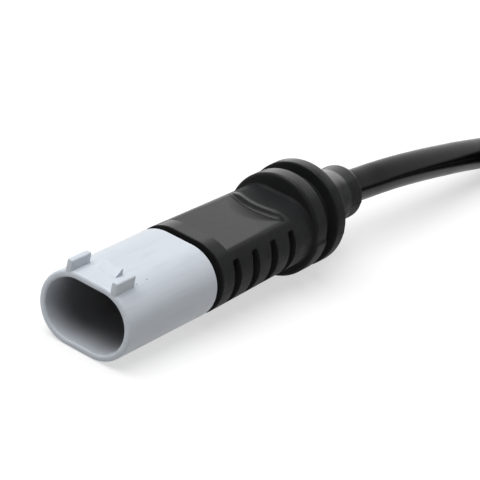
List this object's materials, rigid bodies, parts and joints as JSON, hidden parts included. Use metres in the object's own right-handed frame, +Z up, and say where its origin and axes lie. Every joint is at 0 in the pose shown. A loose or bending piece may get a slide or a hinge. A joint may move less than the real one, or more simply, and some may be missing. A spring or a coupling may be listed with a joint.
{
  "type": "brake pad wear sensor",
  "caption": "Brake pad wear sensor: an oblong plug-in connector with a notched, flanged grip, a sheathed lead and a contact head that clips to the pad.",
  "frame": {"origin": "on the surface that the sensor lies on, under the middle of the connector", "axes": "+Y along the connector, from its mouth to its lead; +Z up; +X completes the frame"},
  "size_m": [0.0778, 0.1793, 0.0174],
  "materials": {
    "shroud_grey": "satin moulded",
    "grip_black": "satin moulded",
    "pin_metal": "tin plated",
    "core_white": "smooth",
    "core_brown": "smooth",
    "copper": "bare",
    "lead_sheath": "glossy",
    "rubber_black": "matt",
    "head_black": "fine grain",
    "spring_steel": "rolled strip"
  },
  "bodies": {
    "root": {"connector_shroud": "shroud_grey", "grip_moulding": "grip_black", "contact_pin_left": "pin_metal", "contact_pin_right": "pin_metal", "wire_core_left": "core_white", "wire_core_right": "core_brown", "conductor_left": "copper", "conductor_right": "copper", "lead_run": "lead_sheath", "lead_coil": "lead_sheath", "lead_tail": "lead_sheath", "bracket_grommet": "rubber_black", "head_boot": "rubber_black", "sensor_head": "head_black", "wear_loop": "copper", "retaining_clip": "spring_steel", "head_splice_left": "pin_metal", "head_splice_right": "pin_metal", "head_core_left": "core_white", "head_core_right": "core_brown"}
  },
  "joints": []
}
